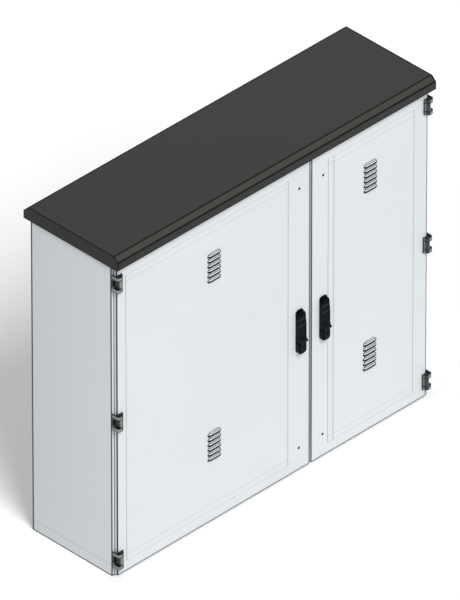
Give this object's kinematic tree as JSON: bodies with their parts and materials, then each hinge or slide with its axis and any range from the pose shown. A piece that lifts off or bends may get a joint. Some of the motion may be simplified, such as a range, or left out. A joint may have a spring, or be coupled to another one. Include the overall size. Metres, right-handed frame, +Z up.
{
  "type": "electrical distribution cabinet",
  "caption": "Outdoor sheet-steel distribution cabinet with a canopy roof, louvred doors on external hinges, swing handles working rod locks, and switchgear on busbars inside.",
  "frame": {"origin": "centre of the body's underside, on the base pan", "axes": "+Z up, doors towards -Y, +X to the right of someone who faces the doors"},
  "size_m": [1.21, 0.3617, 1.058],
  "materials": {
    "light_grey_paint": "fine-textured light grey powder coat",
    "dark_grey_paint": "fine-textured dark grey powder coat",
    "dark_die_cast": "die-cast, dark grey, satin",
    "black_plastic": "glass-filled black plastic",
    "nickel": "nickel-plated lock cylinder",
    "zinc_steel": "zinc-plated steel",
    "grey_plastic": "moulded grey plastic",
    "switch_case": "moulded dark insulating case",
    "red_plastic": "moulded red plastic",
    "copper": "bare copper bar",
    "seal_foam": "closed-cell foam seal"
  },
  "bodies": {
    "cabinet": {"side_panel_left": "light_grey_paint", "side_panel_right": "light_grey_paint", "rear_panel": "light_grey_paint", "top_panel": "light_grey_paint", "base_pan": "light_grey_paint", "centre_mullion": "light_grey_paint", "lock_keeper": "light_grey_paint", "roof": "dark_grey_paint", "gland_plate_left": "zinc_steel", "gland_plate_right": "zinc_steel", "mounting_plate_left": "zinc_steel", "mounting_plate_right": "zinc_steel", "busbar_lower": "copper", "busbar_middle": "copper", "busbar_upper": "copper", "busbar_support_left": "grey_plastic", "busbar_support_right": "grey_plastic", "main_switch": "switch_case", "feeder_switch_1": "switch_case", "feeder_switch_2": "switch_case", "feeder_switch_3": "switch_case", "earth_bar": "copper", "hinge_bracket_left_lower": "dark_die_cast", "hinge_bracket_left_middle": "dark_die_cast", "hinge_bracket_left_upper": "dark_die_cast", "hinge_bracket_right_lower": "dark_die_cast", "hinge_bracket_right_middle": "dark_die_cast", "hinge_bracket_right_upper": "dark_die_cast"},
    "door_left": {"door_pan_left": "light_grey_paint", "door_gasket_left": "seal_foam", "handle_base_left": "black_plastic", "rod_guide_upper_left": "grey_plastic", "rod_guide_lower_left": "grey_plastic", "hinge_leaf_left_lower": "dark_die_cast", "hinge_leaf_left_middle": "dark_die_cast", "hinge_leaf_left_upper": "dark_die_cast"},
    "lock_left": {"lock_spindle_left": "zinc_steel"},
    "lever_left": {"handle_lever_left": "black_plastic"},
    "key_left": {"lock_cylinder_left": "nickel"},
    "cover_left": {"cylinder_cover_left": "black_plastic"},
    "upper_rod_left": {"rod_upper_left": "zinc_steel"},
    "lower_rod_left": {"rod_lower_left": "zinc_steel"},
    "door_right": {"door_pan_right": "light_grey_paint", "door_gasket_right": "seal_foam", "handle_base_right": "black_plastic", "rod_guide_upper_right": "grey_plastic", "rod_guide_lower_right": "grey_plastic", "hinge_leaf_right_lower": "dark_die_cast", "hinge_leaf_right_middle": "dark_die_cast", "hinge_leaf_right_upper": "dark_die_cast"},
    "lock_right": {"lock_spindle_right": "zinc_steel"},
    "lever_right": {"handle_lever_right": "black_plastic"},
    "key_right": {"lock_cylinder_right": "nickel"},
    "cover_right": {"cylinder_cover_right": "black_plastic"},
    "upper_rod_right": {"rod_upper_right": "zinc_steel"},
    "lower_rod_right": {"rod_lower_right": "zinc_steel"},
    "main_knob": {"main_switch_knob": "red_plastic"},
    "toggle_1": {"feeder_toggle_1": "grey_plastic"},
    "toggle_2": {"feeder_toggle_2": "grey_plastic"},
    "toggle_3": {"feeder_toggle_3": "grey_plastic"}
  },
  "joints": [
    {"name": "door_swing_left", "type": "hinge", "parent": "cabinet", "child": "door_left", "pos_m": [-0.585, -0.172, 0.511], "axis": [0, 0, -1], "range_deg": [0, 130]},
    {"name": "handle_turn_left", "type": "hinge", "parent": "door_left", "child": "lock_left", "pos_m": [0.0994, -0.165, 0.52], "axis": [0, 1, 0], "range_deg": [0, 90]},
    {"name": "lever_lift_left", "type": "hinge", "parent": "lock_left", "child": "lever_left", "pos_m": [0.0994, -0.1716, 0.528], "axis": [-1, 0, 0], "range_deg": [0, 35]},
    {"name": "key_turn_left", "type": "hinge", "parent": "door_left", "child": "key_left", "pos_m": [0.0994, -0.165, 0.412], "axis": [0, 1, 0], "range_deg": [0, 90]},
    {"name": "cover_swing_left", "type": "hinge", "parent": "door_left", "child": "cover_left", "pos_m": [0.0994, -0.18, 0.425], "axis": [0, 1, 0], "range_deg": [0, 90]},
    {"name": "upper_rod_slide_left", "type": "slide", "parent": "door_left", "child": "upper_rod_left", "axis": [0, 0, 1], "range_m": [0, 0.02263]},
    {"name": "lower_rod_slide_left", "type": "slide", "parent": "door_left", "child": "lower_rod_left", "axis": [0, 0, -1], "range_m": [0, 0.02263]},
    {"name": "door_swing_right", "type": "hinge", "parent": "cabinet", "child": "door_right", "pos_m": [0.585, -0.172, 0.511], "axis": [0, 0, 1], "range_deg": [0, 130]},
    {"name": "handle_turn_right", "type": "hinge", "parent": "door_right", "child": "lock_right", "pos_m": [0.19, -0.165, 0.52], "axis": [0, -1, 0], "range_deg": [0, 90]},
    {"name": "lever_lift_right", "type": "hinge", "parent": "lock_right", "child": "lever_right", "pos_m": [0.19, -0.1716, 0.528], "axis": [-1, 0, 0], "range_deg": [0, 35]},
    {"name": "key_turn_right", "type": "hinge", "parent": "door_right", "child": "key_right", "pos_m": [0.19, -0.165, 0.412], "axis": [0, -1, 0], "range_deg": [0, 90]},
    {"name": "cover_swing_right", "type": "hinge", "parent": "door_right", "child": "cover_right", "pos_m": [0.19, -0.18, 0.425], "axis": [0, -1, 0], "range_deg": [0, 90]},
    {"name": "upper_rod_slide_right", "type": "slide", "parent": "door_right", "child": "upper_rod_right", "axis": [0, 0, 1], "range_m": [0, 0.02263]},
    {"name": "lower_rod_slide_right", "type": "slide", "parent": "door_right", "child": "lower_rod_right", "axis": [0, 0, -1], "range_m": [0, 0.02263]},
    {"name": "main_knob_turn", "type": "hinge", "parent": "cabinet", "child": "main_knob", "pos_m": [-0.424, 0, 0.64], "axis": [0, 1, 0], "range_deg": [0, 90]},
    {"name": "toggle_throw_1", "type": "hinge", "parent": "cabinet", "child": "toggle_1", "pos_m": [-0.308, 0.0177, 0.64], "axis": [-1, 0, 0], "range_deg": [0, 50]},
    {"name": "toggle_throw_2", "type": "hinge", "parent": "cabinet", "child": "toggle_2", "pos_m": [-0.192, 0.0177, 0.64], "axis": [-1, 0, 0], "range_deg": [0, 50]},
    {"name": "toggle_throw_3", "type": "hinge", "parent": "cabinet", "child": "toggle_3", "pos_m": [-0.076, 0.0177, 0.64], "axis": [-1, 0, 0], "range_deg": [0, 50]}
  ],
  "couplings": [
    {"joint": "upper_rod_slide_left", "follows": "handle_turn_left", "m_per_rad": 0.014405},
    {"joint": "lower_rod_slide_left", "follows": "handle_turn_left", "m_per_rad": 0.014405},
    {"joint": "upper_rod_slide_right", "follows": "handle_turn_right", "m_per_rad": 0.014405},
    {"joint": "lower_rod_slide_right", "follows": "handle_turn_right", "m_per_rad": 0.014405}
  ]
}
